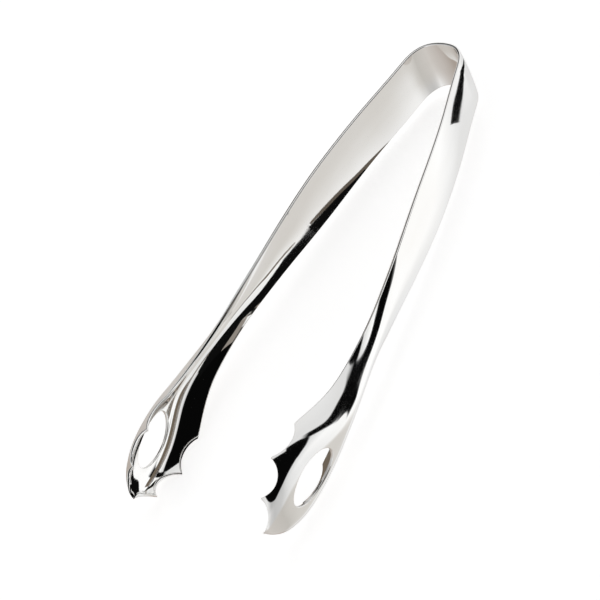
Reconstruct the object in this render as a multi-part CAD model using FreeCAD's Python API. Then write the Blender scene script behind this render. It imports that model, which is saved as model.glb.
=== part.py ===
# Spring ice tongs: one polished steel strip bent into a bow, two arms that fold into
# channels, and two cupped claws with scalloped teeth and an oval drain hole.
# Row frame, mm: X from left arm to right arm (mirror plane X = 0), Y from the claw tips
# towards the bow, Z across the strip. The tongs lie on their side on Z = 0.
import FreeCAD
import Part
import math
import os

V = FreeCAD.Vector
doc = FreeCAD.newDocument("spring_ice_tongs")
sheet = doc.addObject("Spreadsheet::Sheet", "Dimensions")
DIMENSIONS = [
    ("gauge", 1.1),               # strip thickness
    ("overall_length", 178.4),    # bow apex to claw tips
    ("strip_width", 18.8),        # flat strip at the bow
    ("claw_width", 25.0),         # widest part of a claw, across Z
    ("claw_depth", 7.8),          # how far the claw's walls stand in from its back
    ("flex_station", 20.4),       # where the bow ends and an arm starts, from the apex
    ("flex_gap", 0.4),            # split between bow and arm at the flexing line
    ("claw_station", 143.0),      # where an arm ends and its claw starts
    ("hole_centre", 158.5),       # drain hole centre from the apex
    ("hole_length", 18.8),
    ("hole_width", 10.4),
    ("middle_height", 12.25),     # middle of the strip above Z = 0, with the lowest teeth on Z = 0
]
for row, (name, value) in enumerate(DIMENSIONS, start=1):
    sheet.set("A%d" % row, name)
    sheet.set("B%d" % row, str(value))
    sheet.setAlias("B%d" % row, name)
doc.recompute()
gauge = float(sheet.get("gauge"))
overall_length = float(sheet.get("overall_length"))
strip_width = float(sheet.get("strip_width"))
claw_width = float(sheet.get("claw_width"))
claw_depth = float(sheet.get("claw_depth"))
flex_station = float(sheet.get("flex_station"))
flex_gap = float(sheet.get("flex_gap"))
claw_station = float(sheet.get("claw_station"))
hole_centre = float(sheet.get("hole_centre"))
hole_length = float(sheet.get("hole_length"))
hole_width = float(sheet.get("hole_width"))
z_middle = float(sheet.get("middle_height"))

y_middle = overall_length / 2

# The strip's outer face from the apex down the right side. Each row: distance out from the
# mirror plane, distance down from the apex, wall height as a part of claw_depth, width as a
# part of strip_width up to the neck and of claw_width in the claw, squareness of the section.
SW = strip_width
CW = claw_width
CD = claw_depth
STATIONS = [
    (0.00, 0.00, 0.05 * CD, SW, 2.4),
    (2.10, 0.15, 0.05 * CD, SW, 2.4),
    (4.15, 0.58, 0.05 * CD, SW, 2.4),
    (6.04, 1.41, 0.05 * CD, SW, 2.4),
    (7.68, 2.69, 0.05 * CD, SW, 2.4),
    (9.01, 4.31, 0.05 * CD, SW, 2.4),
    (9.99, 6.15, 0.05 * CD, SW, 2.4),
    (10.70, 8.20, 0.05 * CD, SW, 2.4),
    (11.60, 12.20, 0.05 * CD, SW, 2.4),
    (13.36, 20.40, 0.05 * CD, SW, 2.4),
    (16.10, 32.40, 0.05 * CD, SW, 2.4),
    (18.50, 45.00, 0.055 * CD, SW, 2.3),
    (20.60, 58.50, 0.06 * CD, 0.990 * SW, 2.2),
    (22.40, 72.00, 0.075 * CD, 0.905 * SW, 2.1),
    (24.00, 84.60, 0.105 * CD, 0.780 * SW, 2.0),
    (25.30, 96.00, 0.15 * CD, 0.675 * SW, 2.0),
    (26.60, 106.00, 0.23 * CD, 0.610 * SW, 2.0),
    (28.00, 116.00, 0.39 * CD, 0.582 * SW, 2.1),
    (29.60, 126.00, 0.60 * CD, 0.620 * SW, 2.2),
    (30.70, 134.00, 0.77 * CD, 0.725 * SW, 2.3),
    (31.05, 140.00, 0.90 * CD, 0.650 * CW, 2.4),
    (30.95, 145.00, 0.97 * CD, 0.775 * CW, 2.7),
    (30.30, 151.00, 1.00 * CD, 0.920 * CW, 3.6),
    (29.40, 158.00, 0.94 * CD, 1.000 * CW, 4.6),
    (28.70, 165.00, 0.86 * CD, 0.950 * CW, 4.6),
    (28.00, 170.00, 0.77 * CD, 0.830 * CW, 4.2),
    (27.10, 173.50, 0.66 * CD, 0.700 * CW, 3.8),
    (25.80, 176.30, 0.47 * CD, 0.500 * CW, 3.2),
    (24.50, 177.80, 0.26 * CD, 0.300 * CW, 2.6),
    (23.30, 178.40, 0.07 * CD, 0.100 * CW, 2.0),
]


def cubic(knots, values):
    """Second derivatives of the natural cubic through the values."""
    n = len(knots)
    sub = [0.0] * n
    second = [0.0] * n
    for i in range(1, n - 1):
        part = (knots[i] - knots[i - 1]) / (knots[i + 1] - knots[i - 1])
        p = part * second[i - 1] + 2
        second[i] = (part - 1) / p
        rise = ((values[i + 1] - values[i]) / (knots[i + 1] - knots[i])
                - (values[i] - values[i - 1]) / (knots[i] - knots[i - 1]))
        sub[i] = (6 * rise / (knots[i + 1] - knots[i - 1]) - part * sub[i - 1]) / p
    for i in range(n - 2, -1, -1):
        second[i] = second[i] * second[i + 1] + sub[i]
    return second


def spline(knots, values, second, at):
    """Value and slope of the cubic at one place."""
    i = max(0, min(len(knots) - 2, sum(1 for k in knots if k <= at) - 1))
    h = knots[i + 1] - knots[i]
    a = (knots[i + 1] - at) / h
    b = (at - knots[i]) / h
    value = (a * values[i] + b * values[i + 1]
             + ((a ** 3 - a) * second[i] + (b ** 3 - b) * second[i + 1]) * h * h / 6)
    slope = ((values[i + 1] - values[i]) / h
             + (-(3 * a * a - 1) * second[i] + (3 * b * b - 1) * second[i + 1]) * h / 6)
    return value, slope


# The mirrored half is included, so that the bow is smooth through its apex.
RUN = [(-x, l, f, w, m) for x, l, f, w, m in STATIONS[:0:-1]] + STATIONS
knots = [0.0]
for (xa, la, _, _, _), (xb, lb, _, _, _) in zip(RUN, RUN[1:]):
    knots.append(knots[-1] + math.hypot(xb - xa, lb - la))
apex = knots[len(STATIONS) - 1]
knots = [k - apex for k in knots]
columns = [[row[c] for row in RUN] for c in range(5)]
seconds = [cubic(knots, column) for column in columns]


def gentle_slopes(values):
    """Slopes at the stations that keep a size from overshooting between them."""
    steps = [(vb - va) / (kb - ka) for va, vb, ka, kb
             in zip(values, values[1:], knots, knots[1:])]
    slopes = [steps[0]]
    for a, b in zip(steps, steps[1:]):
        slopes.append(0.0 if a * b <= 0 else 2 * a * b / (a + b))
    return slopes + [steps[-1]]


slopes = [gentle_slopes(column) for column in columns]


def blended(column, at):
    """Smooth size between stations, without overshoot."""
    i = max(0, min(len(knots) - 2, sum(1 for k in knots if k <= at) - 1))
    h = knots[i + 1] - knots[i]
    b = (at - knots[i]) / h
    a = 1 - b
    v, d = columns[column], slopes[column]
    return (a * a * (1 + 2 * b) * v[i] + b * b * (1 + 2 * a) * v[i + 1]
            + a * b * h * (a * d[i] - b * d[i + 1]))


def along(distance_down):
    """Run position on the right side at a distance down from the apex."""
    low, high = 0.0, knots[-1]
    for _ in range(60):
        middle = (low + high) / 2
        if spline(knots, columns[1], seconds[1], middle)[0] < distance_down:
            low = middle
        else:
            high = middle
    return (low + high) / 2


HALF = 12  # points from the middle of a section to its edge


def section(at, spare):
    """Closed wire of the strip's cross-section, square to the outer face, spare mm wider."""
    x, dx = spline(knots, columns[0], seconds[0], at)
    l, dl = spline(knots, columns[1], seconds[1], at)
    size = math.hypot(dx, dl)
    inward = (-dl / size, dx / size)
    wall, width, power = (blended(c, at) for c in (2, 3, 4))
    width += spare
    half = [(wall * t ** power, t * width / 2) for t in [i / 200 for i in range(201)]]
    run = [0.0]
    for (ha, za), (hb, zb) in zip(half, half[1:]):
        run.append(run[-1] + math.hypot(hb - ha, zb - za))
    picked = []
    for i in range(HALF + 1):
        want = run[-1] * i / HALF
        j = max(0, min(199, sum(1 for r in run if r <= want) - 1))
        b = (want - run[j]) / (run[j + 1] - run[j])
        picked.append((half[j][0] * (1 - b) + half[j + 1][0] * b,
                       half[j][1] * (1 - b) + half[j + 1][1] * b))
    outer = [(h, -z) for h, z in picked[:0:-1]] + picked
    inner = []
    for i, (h, z) in enumerate(outer):
        before = outer[max(0, i - 1)]
        after = outer[min(len(outer) - 1, i + 1)]
        th, tz = after[0] - before[0], after[1] - before[1]
        n = math.hypot(th, tz)
        inner.append((h + gauge * tz / n, z - gauge * th / n))

    def place(h, z):
        return V(x + inward[0] * h, y_middle - (l + inward[1] * h), z_middle + z)

    a = [place(*p) for p in outer]
    b = [place(*p) for p in inner]
    outside = Part.BSplineCurve()
    outside.interpolate(a)
    inside = Part.BSplineCurve()
    inside.interpolate(b[::-1])
    return Part.Wire([outside.toShape(), Part.makeLine(a[-1], b[-1]),
                      inside.toShape(), Part.makeLine(b[0], a[0])])


def strip(start, stop, count, spare=0.0):
    """Solid of the strip between two run positions."""
    wires = [section(start + (stop - start) * i / (count - 1), spare) for i in range(count)]
    return Part.makeLoft(wires, True, False)


def round_bite(top, bottom, depth):
    """Cylinder across the claw that bites one scallop between two teeth."""
    (xa, la), (xb, lb) = top, bottom
    chord = math.hypot(xb - xa, lb - la)
    radius = (chord * chord / 4 + depth * depth) / (2 * depth)
    out = ((lb - la) / chord, -(xb - xa) / chord)
    cx = (xa + xb) / 2 + out[0] * (depth - radius)
    cl = (la + lb) / 2 + out[1] * (depth - radius)
    return Part.makeCylinder(radius, claw_width + 10, V(cx, y_middle - cl, -5), V(0, 0, 1))


TEETH = [(22.6, 149.0), (21.9, 161.5), (22.6, 172.3), (22.4, 178.6)]
BITES = [2.3, 3.4, 2.7]


def mirrored(shape):
    return shape.mirror(V(0, 0, 0), V(1, 0, 0))


flex = along(flex_station)
split = along(claw_station)
end = knots[-1]
# The bow is lofted wider than the strip and trimmed, so that its two edges are true planes.
bow = strip(-flex + flex_gap / 2, flex - flex_gap / 2, 41, spare=1.0)
bow = bow.common(Part.makeBox(60, 60, strip_width, V(-30, y_middle - 50,
                                                     z_middle - strip_width / 2)))
arm = strip(flex + flex_gap / 2, split, 33)
claw = strip(split, end, 33)
for i, depth in enumerate(BITES):
    claw = claw.cut(round_bite(TEETH[i], TEETH[i + 1], depth))
oval = Part.Ellipse(V(0, 0, 0), hole_length / 2, hole_width / 2).toShape()
drill = Part.Face(Part.Wire([oval])).extrude(V(0, 0, 16))
drill.Placement = FreeCAD.Placement(
    V(22.5, y_middle - hole_centre, z_middle),
    FreeCAD.Rotation(V(0, 1, 0), V(0, 0, 1), V(1, 0, 0), "ZXY"))
claw = claw.cut(drill)

NODES = {
    "spring_bow": bow,
    "right_arm": arm,
    "left_arm": mirrored(arm),
    "right_claw": claw,
    "left_claw": mirrored(claw),
}
features = []
for name, shape in NODES.items():
    feature = doc.addObject("Part::Feature", name)
    feature.Label = name
    feature.Shape = shape
    features.append(feature)
doc.recompute()

problems = []
for item in doc.Objects:
    if "Invalid" in item.State or "Error" in item.State:
        problems.append("%s is in state %s" % (item.Label, item.State))
for feature in features:
    if feature.Shape.isNull() or not feature.Shape.isValid() or feature.Shape.Volume <= 0:
        problems.append("%s has no valid shape" % feature.Label)
    if len(feature.Shape.Solids) != 1:
        problems.append("%s has %d solids" % (feature.Label, len(feature.Shape.Solids)))
if problems:
    raise RuntimeError("; ".join(problems))

os.makedirs("parts", exist_ok=True)
for feature in features:
    feature.Shape.exportStep("parts/%s.step" % feature.Label)
    box = feature.Shape.BoundBox
    print(feature.Label, "volume", round(feature.Shape.Volume, 1),
          "x", round(box.XMin, 2), round(box.XMax, 2), "y", round(box.YMin, 2),
          round(box.YMax, 2), "z", round(box.ZMin, 2), round(box.ZMax, 2))
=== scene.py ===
"""Spring ice tongs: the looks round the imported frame. Metres, row frame."""
import bmesh
import bpy
import math
import numpy as np
from mathutils import Matrix, Vector


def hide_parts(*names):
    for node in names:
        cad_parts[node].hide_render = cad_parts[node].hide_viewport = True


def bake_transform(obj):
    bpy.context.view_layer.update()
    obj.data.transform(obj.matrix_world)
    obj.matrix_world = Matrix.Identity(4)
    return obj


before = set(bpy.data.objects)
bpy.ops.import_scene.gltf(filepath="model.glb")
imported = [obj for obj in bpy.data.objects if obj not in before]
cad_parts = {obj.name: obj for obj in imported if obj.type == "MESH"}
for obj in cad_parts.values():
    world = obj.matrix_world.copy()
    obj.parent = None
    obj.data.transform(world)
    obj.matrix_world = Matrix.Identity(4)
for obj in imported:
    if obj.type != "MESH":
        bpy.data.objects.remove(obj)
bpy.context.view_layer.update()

# ---------------------------------------------------------------- the strip's shape
# The same stations as the CAD part, mm: distance out, distance down from the apex of the
# bow, wall height, width, squareness of the section.
SW, CW, CD, GAUGE = 18.8, 25.0, 7.8, 1.1
Y_MIDDLE, Z_MIDDLE = 89.2, 12.25
STATIONS = [
    (0.00, 0.00, 0.05 * CD, SW, 2.4),
    (2.10, 0.15, 0.05 * CD, SW, 2.4),
    (4.15, 0.58, 0.05 * CD, SW, 2.4),
    (6.04, 1.41, 0.05 * CD, SW, 2.4),
    (7.68, 2.69, 0.05 * CD, SW, 2.4),
    (9.01, 4.31, 0.05 * CD, SW, 2.4),
    (9.99, 6.15, 0.05 * CD, SW, 2.4),
    (10.70, 8.20, 0.05 * CD, SW, 2.4),
    (11.60, 12.20, 0.05 * CD, SW, 2.4),
    (13.36, 20.40, 0.05 * CD, SW, 2.4),
    (16.10, 32.40, 0.05 * CD, SW, 2.4),
    (18.50, 45.00, 0.055 * CD, SW, 2.3),
    (20.60, 58.50, 0.06 * CD, 0.990 * SW, 2.2),
    (22.40, 72.00, 0.075 * CD, 0.905 * SW, 2.1),
    (24.00, 84.60, 0.105 * CD, 0.780 * SW, 2.0),
    (25.30, 96.00, 0.15 * CD, 0.675 * SW, 2.0),
    (26.60, 106.00, 0.23 * CD, 0.610 * SW, 2.0),
    (28.00, 116.00, 0.39 * CD, 0.582 * SW, 2.1),
    (29.60, 126.00, 0.60 * CD, 0.620 * SW, 2.2),
    (30.70, 134.00, 0.77 * CD, 0.725 * SW, 2.3),
    (31.05, 140.00, 0.90 * CD, 0.650 * CW, 2.4),
    (30.95, 145.00, 0.97 * CD, 0.775 * CW, 2.7),
    (30.30, 151.00, 1.00 * CD, 0.920 * CW, 3.6),
    (29.40, 158.00, 0.94 * CD, 1.000 * CW, 4.6),
    (28.70, 165.00, 0.86 * CD, 0.950 * CW, 4.6),
    (28.00, 170.00, 0.77 * CD, 0.830 * CW, 4.2),
    (27.10, 173.50, 0.66 * CD, 0.700 * CW, 3.8),
    (25.80, 176.30, 0.47 * CD, 0.500 * CW, 3.2),
    (24.50, 177.80, 0.26 * CD, 0.300 * CW, 2.6),
    (23.30, 178.40, 0.07 * CD, 0.100 * CW, 2.0),
]
TEETH = [(22.6, 149.0), (21.9, 161.5), (22.6, 172.3), (22.4, 178.6)]
BITES = [2.3, 3.4, 2.7]
HOLE_CENTRE, HOLE_LENGTH, HOLE_WIDTH = 158.5, 18.8, 10.4
EDGE = 0.30       # how far the rounded edge stands past the flat of the strip
RIM = 0.25        # the same round the drain hole

run = np.array([(-x, l, f, w, m) for x, l, f, w, m in STATIONS[:0:-1]] + STATIONS)
knots = np.concatenate([[0.0], np.cumsum(np.hypot(*np.diff(run[:, :2], axis=0).T))])
knots -= knots[len(STATIONS) - 1]


def second_derivatives(values):
    """Natural cubic through the values."""
    n = len(knots)
    h = np.diff(knots)
    a = np.zeros((n, n))
    b = np.zeros(n)
    a[0, 0] = a[-1, -1] = 1
    for i in range(1, n - 1):
        a[i, i - 1:i + 2] = h[i - 1], 2 * (h[i - 1] + h[i]), h[i]
        b[i] = 6 * ((values[i + 1] - values[i]) / h[i] - (values[i] - values[i - 1]) / h[i - 1])
    return np.linalg.solve(a, b)


def gentle_slopes(values):
    """Slopes at the stations that keep a size from overshooting between them."""
    steps = np.diff(values) / np.diff(knots)
    a, b = steps[:-1], steps[1:]
    inner = np.where(a * b <= 0, 0.0, 2 * a * b / np.where(a * b <= 0, 1.0, a + b))
    return np.concatenate([steps[:1], inner, steps[-1:]])


bends = [second_derivatives(run[:, c]) for c in (0, 1)]
slopes = [gentle_slopes(run[:, c]) for c in (2, 3, 4)]


def spine(at):
    """x, l and the unit inward normal (in x and l) of the outer face."""
    i = np.clip(np.searchsorted(knots, at, side="right") - 1, 0, len(knots) - 2)
    h = knots[i + 1] - knots[i]
    a, b = (knots[i + 1] - at) / h, (at - knots[i]) / h
    out = []
    for c in (0, 1):
        v, s = run[:, c], bends[c]
        out.append(a * v[i] + b * v[i + 1]
                   + ((a ** 3 - a) * s[i] + (b ** 3 - b) * s[i + 1]) * h * h / 6)
        out.append((v[i + 1] - v[i]) / h
                   + (-(3 * a * a - 1) * s[i] + (3 * b * b - 1) * s[i + 1]) * h / 6)
    x, dx, l, dl = out
    size = np.hypot(dx, dl)
    return x, l, -dl / size, dx / size


def exact_sizes(at):
    """Wall height, width and squareness of the section, through every station."""
    i = np.clip(np.searchsorted(knots, at, side="right") - 1, 0, len(knots) - 2)
    h = knots[i + 1] - knots[i]
    b = (at - knots[i]) / h
    a = 1 - b
    return [a * a * (1 + 2 * b) * run[i, c] + b * b * (1 + 2 * a) * run[i + 1, c]
            + a * b * h * (a * d[i] - b * d[i + 1]) for c, d in zip((2, 3, 4), slopes)]


fine_run = np.linspace(0, knots[-1], 1400)
exact_table = np.array(exact_sizes(fine_run))
spread = 4.5 * np.clip((knots[-1] - 8.0 - fine_run) / 14.0, 0.02, 1.0)   # mm
weights = np.exp(-0.5 * ((np.abs(fine_run)[None] - fine_run[:, None]) / spread[:, None]) ** 2)
weights += np.exp(-0.5 * ((-fine_run[None] - fine_run[:, None]) / spread[:, None]) ** 2)
even_table = (exact_table @ weights.T) / weights.sum(axis=1)


def sizes(at):
    """The same three, evened out as a polished sheet is."""
    step = fine_run[1]
    i = np.clip((np.abs(at) / step).astype(int), 1, len(fine_run) - 3)
    b = np.abs(at) / step - i
    out = []
    for column in even_table:
        v0, v1, v2, v3 = column[i - 1], column[i], column[i + 1], column[i + 2]
        out.append(v1 + 0.5 * b * (v2 - v0 + b * (2 * v0 - 5 * v1 + 4 * v2 - v3
                                                  + b * (3 * (v1 - v2) + v3 - v0))))
    return out


def bite_height(at):
    """How far in from the outer face each scallop's circle is met, one row a scallop."""
    x, l, nx, nl = spine(at)
    rows = []
    for (xa, la), (xb, lb), depth in zip(TEETH, TEETH[1:], BITES):
        chord = math.hypot(xb - xa, lb - la)
        radius = (chord * chord / 4 + depth * depth) / (2 * depth)
        ox, ol = (lb - la) / chord, -(xb - xa) / chord
        cx = (xa + xb) / 2 + ox * (depth - radius)
        cl = (la + lb) / 2 + ol * (depth - radius)
        b = nx * (x - cx) + nl * (l - cl)
        inside = b * b - ((x - cx) ** 2 + (l - cl) ** 2 - radius ** 2)
        rows.append(np.where(inside > 0, -b - np.sqrt(np.maximum(inside, 0)), 99.0))
    return np.array([np.where(r < -0.5, 99.0, r) for r in rows])


def section_point(at, t, thick):
    """(h, z) of the section at signed t, set in from the outer face by thick."""
    wall, width, power = sizes(at)
    u = np.abs(t)
    h = wall * u ** power
    z = t * width / 2
    th = wall * power * u ** (power - 1) * np.sign(t)
    tz = width / 2
    n = np.hypot(th, tz)
    return h + thick * tz / n, z - thick * th / n


def surface(at, t, thick):
    """Point of the strip in the row frame, mm."""
    x, l, nx, nl = spine(at)
    h, z = section_point(at, t, thick)
    return np.stack([x + nx * h, Y_MIDDLE - (l + nl * h), Z_MIDDLE + z], -1)


def facing(at, t, thick):
    """Unit normal of the outer face there."""
    e = 1e-3
    ds = surface(at + e, t, thick) - surface(at - e, t, thick)
    dt = surface(at, t + e, thick) - surface(at, t - e, thick)
    n = np.cross(dt, ds)
    return n / np.linalg.norm(n, axis=-1, keepdims=True)


def at_down(distance):
    """Run position at a distance down from the apex."""
    low, high = 0.0, knots[-1]
    for _ in range(50):
        middle = (low + high) / 2
        if spine(np.array([middle]))[1][0] < distance:
            low = middle
        else:
            high = middle
    return (low + high) / 2


def crossings(values, places):
    """Places where the values change sign."""
    i = np.nonzero(np.diff(np.sign(values)))[0]
    share = values[i] / (values[i] - values[i + 1])
    return places[i] + share * (places[i + 1] - places[i])


def stations():
    """Run positions of the mesh rows: fine in the claw, on every tooth, close at the hole's ends."""
    end = knots[-1]
    a, b = HOLE_CENTRE - HOLE_LENGTH / 2 - RIM, HOLE_CENTRE + HOLE_LENGTH / 2 + RIM
    top, bottom = at_down(a), at_down(b)
    fine = np.linspace(at_down(146.0), end, 3000)
    bites = bite_height(fine)
    wall = sizes(fine)[0]
    teeth = np.concatenate([crossings(bites[0] - wall, fine)[:1],
                            crossings(bites[0] - bites[1], fine)[-1:],
                            crossings(bites[1] - bites[2], fine)[-1:]])
    turn = np.linspace(0, math.pi, 73)
    hole = top + (bottom - top) * (1 - np.cos(turn)) / 2
    bow = at_down(20.0)
    rows = np.concatenate([np.linspace(0, bow, 61), np.linspace(bow, at_down(140.0), 171)[1:],
                           np.linspace(at_down(140.0), top, 41)[1:-1],
                           hole, np.linspace(bottom, end, 61)[1:]])
    keep = [r for r in rows if np.abs(teeth - r).min() > 0.03 or r in (top, bottom)]
    return np.unique(np.concatenate([keep, teeth])), top, bottom


def half_sections(rows, top, bottom, thick, inner, count):
    """t of the mesh columns on the side z > 0 for each row, evenly spread along the section."""
    width = sizes(rows)[1]
    limit = np.minimum(bite_height(rows).min(axis=0), 99.0)
    t0 = np.zeros_like(rows)
    l = spine(rows)[1]
    a, b = HOLE_LENGTH / 2 + RIM, HOLE_WIDTH / 2 + RIM
    within = (rows > top) & (rows < bottom)
    share = np.clip(1 - ((l - HOLE_CENTRE) / a) ** 2, 0, 1)
    t0[within] = (b * np.sqrt(share) * 2 / width)[within]
    # the far end: where the section meets a scallop, or its own edge
    low, high = np.zeros_like(rows), np.ones_like(rows)
    for _ in range(40):
        middle = (low + high) / 2
        h = section_point(rows, middle, thick if inner else 0.0)[0]
        over = h > limit
        high, low = np.where(over, middle, high), np.where(over, low, middle)
    t1 = np.maximum(low, t0 + 1e-3)
    ts = t0[:, None] + (t1 - t0)[:, None] * np.linspace(0, 1, 201)[None]
    h, z = section_point(rows[:, None] + 0 * ts, ts, (thick if inner else 0 * thick)[:, None])
    length = np.concatenate([np.zeros((len(rows), 1)),
                             np.cumsum(np.hypot(np.diff(h), np.diff(z)), axis=1)], axis=1)
    out = np.empty((len(rows), count + 1))
    for r in range(len(rows)):
        total = max(length[r, -1] - min(EDGE, 0.3 * length[r, -1]), 1e-4)
        out[r] = np.interp(np.linspace(0, total, count + 1), length[r], ts[r])
    return out


def strip_mesh(name, sign):
    """Half of the strip, from the apex of the bow to the claw's tip, on the side given by sign."""
    rows, top, bottom = stations()
    limit = bite_height(rows).min(axis=0)
    thick = np.minimum(GAUGE, np.maximum(limit * 0.8, 0.12))
    count, k = 40, 6    # columns on each side of the middle, and steps round an edge
    points, normals, faces = [], [], []
    grids = {}

    def add(p, nrm):
        start = sum(len(q) for q in points)
        points.append(p.reshape(-1, 3))
        normals.append(nrm.reshape(-1, 3))
        return start + np.arange(p.reshape(-1, 3).shape[0]).reshape(p.shape[:-1])

    def quads(grid, flip):
        a, b, c, d = grid[:-1, :-1], grid[:-1, 1:], grid[1:, 1:], grid[1:, :-1]
        q = np.stack([a, b, c, d] if not flip else [a, d, c, b], -1).reshape(-1, 4)
        faces.append(q)

    at = np.repeat(rows[:, None], count + 1, 1)
    out_t = half_sections(rows, top, bottom, thick, False, count)
    in_t = half_sections(rows, top, bottom, thick, True, count)
    for side in (1, -1):
        outer_p = surface(at, side * out_t, 0.0)
        outer_n = facing(at, side * out_t, 0.0)
        inner_p = surface(at, side * in_t, thick[:, None])
        inner_n = -facing(at, side * in_t, thick[:, None])
        # rounded edge between the two faces
        a, b = outer_p[:, -1], inner_p[:, -1]
        half = (a - b) / 2
        middle = (a + b) / 2
        along = (a - outer_p[:, -2]) / np.linalg.norm(a - outer_p[:, -2], axis=-1, keepdims=True) \
            + (b - inner_p[:, -2]) / np.linalg.norm(b - inner_p[:, -2], axis=-1, keepdims=True)
        along /= np.linalg.norm(along, axis=-1, keepdims=True)
        reach = np.minimum(EDGE, 0.3 * np.linalg.norm(a - outer_p[:, 0], axis=-1) + 0.02)[:, None]
        turn = np.linspace(0, math.pi, k + 1)
        edge_p = np.stack([middle + half * math.cos(v) + along * reach * math.sin(v)
                           for v in turn], 1)
        size = np.linalg.norm(half, axis=-1, keepdims=True)
        edge_n = np.stack([half / size * math.cos(v) / size + along * math.sin(v) / reach
                           for v in turn], 1)
        edge_n /= np.linalg.norm(edge_n, axis=-1, keepdims=True)
        edge_n[:, 0], edge_n[:, -1] = outer_n[:, -1], inner_n[:, -1]
        o = add(outer_p, outer_n)
        i = add(inner_p, inner_n)
        e = add(edge_p[:, 1:-1], edge_n[:, 1:-1])
        loop = np.concatenate([o, e, i[:, ::-1]], axis=1)
        quads(loop, side < 0)
        grids[side] = (o, i, outer_p, inner_p, outer_n, inner_n)
        # tip: the two faces close on each other
        p_all = np.concatenate([q.reshape(-1, 3) for q in points])
        n_all = np.concatenate([q.reshape(-1, 3) for q in normals])
        last = loop[-1]
        ring = p_all[last]
        mirror = ring[::-1]
        mid = (ring + mirror) / 2
        tip_dir = surface(rows[-1:], np.zeros(1), 0.0) - surface(rows[-1:] - 0.05, np.zeros(1), 0.0)
        tip_dir /= np.linalg.norm(tip_dir)
        rows_p, rows_n = [], []
        for v in np.linspace(0, math.pi / 2, 4)[1:]:
            rows_p.append(mid + (ring - mid) * math.cos(v) + tip_dir * 0.12 * math.sin(v))
            w = n_all[last] * math.cos(v) + tip_dir * math.sin(v)
            rows_n.append(w / np.linalg.norm(w, axis=-1, keepdims=True))
        tip = add(np.stack(rows_p), np.stack(rows_n))
        quads(np.concatenate([last[None], tip]), side < 0)

    # rim of the drain hole: a rounded wall between the two faces
    inside = np.nonzero((rows >= top - 1e-9) & (rows <= bottom + 1e-9))[0]
    order = [(1, r) for r in inside] + [(-1, r) for r in inside[::-1][1:-1]]
    a_i = np.array([grids[s][0][r, 0] for s, r in order])
    b_i = np.array([grids[s][1][r, 0] for s, r in order])
    a = np.array([grids[s][2][r, 0] for s, r in order])
    b = np.array([grids[s][3][r, 0] for s, r in order])
    an = np.array([grids[s][4][r, 0] for s, r in order])
    bn = np.array([grids[s][5][r, 0] for s, r in order])
    l_of = np.array([spine(rows[r:r + 1])[1][0] for _, r in order]) - HOLE_CENTRE
    z_of = a[:, 2] - Z_MIDDLE
    la, lb = HOLE_LENGTH / 2 + RIM, HOLE_WIDTH / 2 + RIM
    gl, gz = l_of / la ** 2, z_of / lb ** 2
    g = np.hypot(gl, gz)
    down = surface(rows[inside], 0 * inside, 0.0)
    down = (down[-1] - down[0]) / np.linalg.norm(down[-1] - down[0])
    into = -(gl / g)[:, None] * down[None] - (gz / g)[:, None] * np.array([0, 0, 1.0])[None]
    half, middle = (a - b) / 2, (a + b) / 2
    size = np.linalg.norm(half, axis=-1, keepdims=True)
    ring_p, ring_n = [], []
    for v in np.linspace(0, math.pi, k + 1)[1:-1]:
        ring_p.append(middle + half * math.cos(v) + into * RIM * math.sin(v))
        w = half / size * math.cos(v) / size + into * math.sin(v) / RIM
        ring_n.append(w / np.linalg.norm(w, axis=-1, keepdims=True))
    wall = add(np.stack(ring_p), np.stack(ring_n))
    ring = np.concatenate([a_i[None], wall, b_i[None]])
    quads(np.concatenate([ring, ring[:, :1]], axis=1), False)

    co = np.concatenate(points)
    nn = np.concatenate(normals)
    q = np.concatenate(faces)
    if sign < 0:
        co, nn, q = co * [-1, 1, 1], nn * [-1, 1, 1], q[:, ::-1]
    co = co / 1000.0
    # shared rows along the middle are welded, and faces that closed up are dropped
    key = np.round(co * 1e7).astype(np.int64)
    _, first, back = np.unique(key, axis=0, return_index=True, return_inverse=True)
    back = back.reshape(-1)
    total = np.zeros((len(first), 3))
    np.add.at(total, back, nn)
    co, q = co[first], back[q]
    nn = total / np.maximum(np.linalg.norm(total, axis=-1, keepdims=True), 1e-9)
    polygons = []
    for face in q.tolist():
        kept = [v for j, v in enumerate(face) if v != face[j - 1]]
        if len(set(kept)) == len(kept) and len(kept) >= 3:
            polygons.append(kept)
    mesh = bpy.data.meshes.new(name)
    mesh.from_pydata(co.tolist(), [], polygons)
    mesh.update()
    mesh.shade_smooth()
    mesh.normals_split_custom_set_from_vertices(nn.tolist())
    obj = bpy.data.objects.new(name, mesh)
    bpy.context.scene.collection.objects.link(obj)
    return obj


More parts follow.
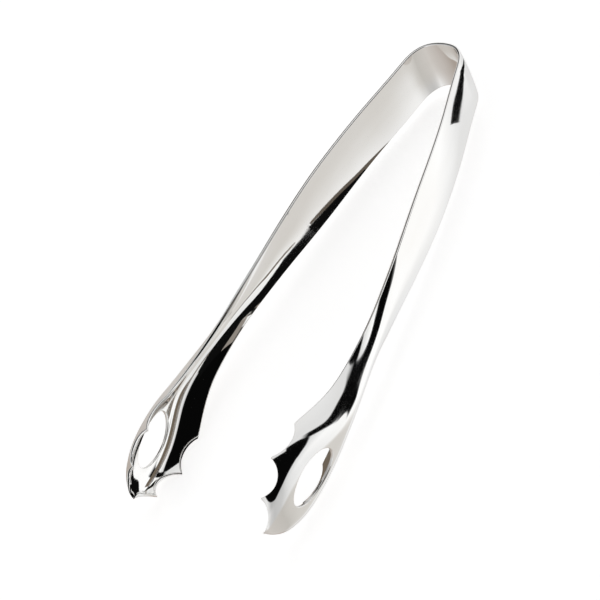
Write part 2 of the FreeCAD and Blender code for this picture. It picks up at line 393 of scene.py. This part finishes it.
# ---------------------------------------------------------------- materials
def steel():
    """Mirror-polished steel: faint long waves, soft smears and a fine grain along the strip."""
    mat = bpy.data.materials.new("polished_steel")
    mat.use_nodes = True
    nodes, links = mat.node_tree.nodes, mat.node_tree.links
    shader = nodes["Principled BSDF"]
    shader.inputs["Metallic"].default_value = 1.0
    coords = nodes.new("ShaderNodeTexCoord")
    smear_map = nodes.new("ShaderNodeMapping")
    smear_map.inputs["Scale"].default_value = (60, 25, 60)
    links.new(coords.outputs["Object"], smear_map.inputs["Vector"])
    smear = nodes.new("ShaderNodeTexNoise")
    smear.inputs["Scale"].default_value = 1.0
    smear.inputs["Detail"].default_value = 5.0
    links.new(smear_map.outputs["Vector"], smear.inputs["Vector"])
    rough = nodes.new("ShaderNodeMapRange")
    rough.inputs["From Min"].default_value = 0.3
    rough.inputs["From Max"].default_value = 0.7
    rough.inputs["To Min"].default_value = 0.02
    rough.inputs["To Max"].default_value = 0.07
    links.new(smear.outputs["Fac"], rough.inputs["Value"])
    links.new(rough.outputs["Result"], shader.inputs["Roughness"])
    tint = nodes.new("ShaderNodeValToRGB")
    tint.color_ramp.elements[0].position = 0.3
    tint.color_ramp.elements[0].color = (0.90, 0.89, 0.87, 1)
    tint.color_ramp.elements[1].position = 0.7
    tint.color_ramp.elements[1].color = (0.95, 0.95, 0.945, 1)
    links.new(smear.outputs["Fac"], tint.inputs["Fac"])
    links.new(tint.outputs["Color"], shader.inputs["Base Color"])

    def relief(scale, detail, height, below=None):
        """Relief of a given height, metres, on top of another."""
        place = nodes.new("ShaderNodeMapping")
        place.inputs["Scale"].default_value = scale
        links.new(coords.outputs["Object"], place.inputs["Vector"])
        noise = nodes.new("ShaderNodeTexNoise")
        noise.inputs["Scale"].default_value = 1.0
        noise.inputs["Detail"].default_value = detail
        links.new(place.outputs["Vector"], noise.inputs["Vector"])
        bump = nodes.new("ShaderNodeBump")
        bump.inputs["Strength"].default_value = 1.0
        bump.inputs["Distance"].default_value = height
        links.new(noise.outputs["Fac"], bump.inputs["Height"])
        if below:
            links.new(below.outputs["Normal"], bump.inputs["Normal"])
        return bump

    waves = relief((70, 45, 70), 1.0, 0.000035)
    grain = relief((2200, 500, 2200), 2.0, 0.0000008, waves)
    links.new(grain.outputs["Normal"], shader.inputs["Normal"])
    return mat


polish = steel()
halves = {}
for side, sign in (("left", -1), ("right", 1)):
    half = strip_mesh(side + "_strip", sign)
    half.data.materials.append(polish)
    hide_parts("spring_bow", side + "_arm", side + "_claw")
    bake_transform(half)
    halves[side] = half


# ---------------------------------------------------------------- studio
def floor():
    mesh = bpy.data.meshes.new("floor")
    s = 6.0
    mesh.from_pydata([(-s, -s, 0), (s, -s, 0), (s, s, 0), (-s, s, 0)], [], [(0, 1, 2, 3)])
    obj = bpy.data.objects.new("floor", mesh)
    bpy.context.scene.collection.objects.link(obj)
    mat = bpy.data.materials.new("floor_paper")
    mat.use_nodes = True
    shader = mat.node_tree.nodes["Principled BSDF"]
    shader.inputs["Base Color"].default_value = (0.9, 0.9, 0.9, 1)
    shader.inputs["Roughness"].default_value = 0.9
    shader.inputs["Emission Color"].default_value = (1, 1, 1, 1)
    shader.inputs["Emission Strength"].default_value = 0.62
    mesh.materials.append(mat)
    obj.visible_glossy = False
    return obj


def unseen(obj):
    """A card that only the steel's reflections meet."""
    obj.visible_camera = obj.visible_diffuse = obj.visible_shadow = False
    obj.visible_transmission = obj.visible_volume_scatter = False


def card(name, corners, tone=(0.004, 0.004, 0.004)):
    mesh = bpy.data.meshes.new(name)
    mesh.from_pydata([[c / 1000 for c in corner] for corner in corners], [],
                     [tuple(range(len(corners)))])
    obj = bpy.data.objects.new(name, mesh)
    bpy.context.scene.collection.objects.link(obj)
    mat = bpy.data.materials.new(name + "_felt")
    mat.use_nodes = True
    nodes, links = mat.node_tree.nodes, mat.node_tree.links
    nodes.clear()
    glow = nodes.new("ShaderNodeEmission")
    glow.inputs["Color"].default_value = (*tone, 1)
    out = nodes.new("ShaderNodeOutputMaterial")
    links.new(glow.outputs[0], out.inputs["Surface"])
    mesh.materials.append(mat)
    unseen(obj)
    return obj


def backdrop():
    """White surround, far behind everything, seen only directly."""
    mesh = bpy.data.meshes.new("backdrop")
    build = bmesh.new()
    bmesh.ops.create_icosphere(build, subdivisions=4, radius=9.0)
    build.to_mesh(mesh)
    build.free()
    obj = bpy.data.objects.new("backdrop", mesh)
    bpy.context.scene.collection.objects.link(obj)
    mat = bpy.data.materials.new("backdrop_white")
    mat.use_nodes = True
    nodes, links = mat.node_tree.nodes, mat.node_tree.links
    nodes.clear()
    glow = nodes.new("ShaderNodeEmission")
    glow.inputs["Color"].default_value = (1, 1, 1, 1)
    glow.inputs["Strength"].default_value = 1.0
    out = nodes.new("ShaderNodeOutputMaterial")
    links.new(glow.outputs[0], out.inputs["Surface"])
    mesh.materials.append(mat)
    obj.visible_diffuse = obj.visible_glossy = obj.visible_shadow = False
    obj.visible_transmission = obj.visible_volume_scatter = False
    return obj


def studio_light():
    """The soft tent round the tongs: white and grey walls, a black overhead card and a black strip."""
    world = bpy.data.worlds.new("studio")
    bpy.context.scene.world = world
    world.use_nodes = True
    nodes, links = world.node_tree.nodes, world.node_tree.links

    def put(socket, value):
        if isinstance(value, bpy.types.NodeSocket):
            links.new(value, socket)
        else:
            socket.default_value = value

    def maths(operation, a, b=0.0):
        node = nodes.new("ShaderNodeMath")
        node.operation = operation
        put(node.inputs[0], a)
        put(node.inputs[1], b)
        return node.outputs[0]

    def step(value, low, high):
        node = nodes.new("ShaderNodeMapRange")
        node.interpolation_type = "SMOOTHSTEP"
        put(node.inputs["Value"], value)
        put(node.inputs["From Min"], low)
        put(node.inputs["From Max"], high)
        return node.outputs["Result"]

    def ramp(value, stops):
        node = nodes.new("ShaderNodeValToRGB")
        put(node.inputs["Fac"], value)
        points = node.color_ramp.elements
        while len(points) < len(stops):
            points.new(0.5)
        for point, (place, colour) in zip(points, stops):
            point.position = (place + 180) / 360
            point.color = (*colour, 1) if isinstance(colour, tuple) else (colour,) * 3 + (1,)
        return node.outputs["Color"]

    def mix(share, a, b):
        node = nodes.new("ShaderNodeMix")
        node.data_type = "RGBA"
        put(node.inputs[0], share)
        put(node.inputs[6], a)
        put(node.inputs[7], b)
        return node.outputs[2]

    coords = nodes.new("ShaderNodeTexCoord")
    split = nodes.new("ShaderNodeSeparateXYZ")
    links.new(coords.outputs["Generated"], split.inputs[0])
    degrees = 180 / math.pi
    round_ = maths("MULTIPLY", maths("ARCTAN2", split.outputs[1], split.outputs[0]), degrees)
    height = maths("MULTIPLY", maths("ARCSINE", split.outputs[2]), degrees)
    turn = maths("ADD", maths("DIVIDE", round_, 360.0), 0.5)

    walls = ramp(turn, [(-180, (.44, .39, .35)), (-120, (.48, .44, .41)), (-62, .85), (-42, .60),
                        (-25, .52), (-5, .56), (5, .70), (20, .88), (38, 1.0), (62, 1.0),
                        (76, .76), (110, .72), (180, (.44, .39, .35))])
    low_wall = ramp(turn, [(-180, (.44, .39, .35)), (-145, (.38, .33, .29)), (-110, (.52, .48, .45)),
                           (-60, (.60, .57, .54)), (0, (.52, .50, .47)), (20, (.64, .62, .59)),
                           (50, (.66, .64, .62)), (62, .84), (110, .74), (180, (.44, .39, .35))])
    high_wall = ramp(turn, [(-180, .30), (-70, .80), (-40, .46), (0, .50), (10, .62), (35, .74),
                            (60, .72), (90, .80), (130, .90), (180, .30)])
    dip = maths("MULTIPLY", ramp(turn, [(-180, .38), (12, .38), (28, .44), (48, .55), (180, .55)]), 90.0)
    below = maths("SUBTRACT", maths("MULTIPLY", height, -1.0), dip)
    colour = mix(step(below, -6.0, 6.0), walls, low_wall)
    colour = mix(step(height, 6.0, 30.0), colour, high_wall)
    edge = maths("MULTIPLY", ramp(turn, [(-180, 1.0), (-82, 1.0), (-74, .60), (-40, .40), (-20, .27),
                                         (0, .26), (12, .29), (30, .30), (42, .36), (50, .50),
                                         (60, 1.0), (180, 1.0)]), 90.0)
    overhead = step(maths("SUBTRACT", height, edge), -1.5, 1.5)
    lean = maths("ADD", maths("MULTIPLY", maths("MAXIMUM", maths("SUBTRACT", height, 2.0), 0.0), 0.32), 36.5)
    off = maths("ABSOLUTE", maths("SUBTRACT", round_, lean))
    strip = maths("MULTIPLY", step(off, 4.6, 3.6),
                  maths("MULTIPLY", step(height, -34.0, -22.0), step(height, 46.0, 36.0)))
    behind = maths("MULTIPLY", maths("MULTIPLY", step(round_, 124.0, 128.0), step(round_, 166.0, 160.0)),
                   maths("MULTIPLY", step(height, 22.0, 26.0), step(height, 62.0, 58.0)))
    dark = maths("MAXIMUM", maths("MAXIMUM", overhead, strip), behind)
    colour = mix(dark, colour, (0.002, 0.002, 0.002, 1))
    back = nodes["Background"]
    links.new(colour, back.inputs["Color"])
    back.inputs["Strength"].default_value = 1.08


floor()
backdrop()
studio_light()
BROWN = (0.16, 0.13, 0.10)
DARK_BROWN = (0.12, 0.10, 0.08)
TAN = (0.30, 0.27, 0.24)


def across(x, outline):
    """Corners of a card that stands across X, from its (y, z) outline."""
    return [(x, y, z) for y, z in outline]


def behind_bow(y, outline):
    """Corners of a card that stands across Y, from its (x, z) outline."""
    return [(x, y, z) for x, z in outline]


# Between the arms: the dark band along the left arm's lower wall and down into its claw.
card("middle_card", across(5, [
    (-38, 42), (-37, 22), (-32, 14), (-26, 8), (-20, 6), (-12, 3.5), (-5, 1), (0, -1.5), (5, -4.5),
    (10, -7), (15, -9.3), (20, -10.4), (30, -12.1), (30, -11.2), (20, -7), (10, 0), (0, 7),
    (-11, 15), (-14, 24), (-21, 42)]))
card("middle_card_brown", across(5, [
    (-12, -17), (-4, -12.5), (6, -10.8), (14, -11.3), (22, -11.5), (22, -11.2), (14, -10.2),
    (6, -8.8), (-4, -10), (-14, -15)]), BROWN)
card("wall_card_tan", across(5, [(-11, 15), (-7, 15), (-11, 42), (-21, 42), (-14, 24)]), TAN)
card("claw_card_brown", across(5, [(-62, 5), (-38, 8), (-38, -6), (-62, -5)]), BROWN)
# Close to the left arm: the same band where it thins out towards the bow.
card("edge_card", across(-10, [
    (23, -0.4), (23, -2.2), (26, -2.7), (30, -2.9), (40, -2.6), (50, -1.6), (50, -0.5),
    (44, -0.7), (32, -0.8)]))
card("edge_card_brown", across(-10, [
    (24, -0.4), (32, -0.8), (44, -0.7), (50, -0.5), (50, -1.6), (66, 0.4), (66, 1.2), (48, 0.2),
    (32, 0), (24, 0)]), DARK_BROWN)
# Past the bow: the dark patch at the top of the right arm.
card("bow_card", behind_bow(100, [
    (6, 7.4), (12, 6.6), (17, 5.2), (20.5, 3.6), (22, 0), (24, -4.5), (27, -10), (31.2, -18.5),
    (28, -19.2), (24.5, -20.5), (22.8, -15.5), (21, -9), (20, -3), (18.5, 0.8), (15, 3.6),
    (10, 5.6), (6, 6.3)]))
# Under the left claw.
card("under_card", [(-27, -72, -10), (-15, -72, -10), (-15, -54, -10), (-27, -54, -10)])

camera_data = bpy.data.cameras.new("camera")
camera_data.lens = 101.6
camera_data.sensor_width = 36.0
camera_data.clip_start, camera_data.clip_end = 0.01, 50
camera = bpy.data.objects.new("camera", camera_data)
bpy.context.scene.collection.objects.link(camera)
right = Vector((0.8141, 0.4407, -0.3783)).normalized()
back = Vector((0.5653, -0.4521, 0.6899)).normalized()
up = back.cross(right).normalized()
right = up.cross(back)
camera.matrix_world = Matrix((
    (right.x, up.x, back.x, 0.2834),
    (right.y, up.y, back.y, -0.2439),
    (right.z, up.z, back.z, 0.36555),
    (0, 0, 0, 1)))
bpy.context.scene.camera = camera
bpy.context.scene.view_settings.view_transform = "Standard"
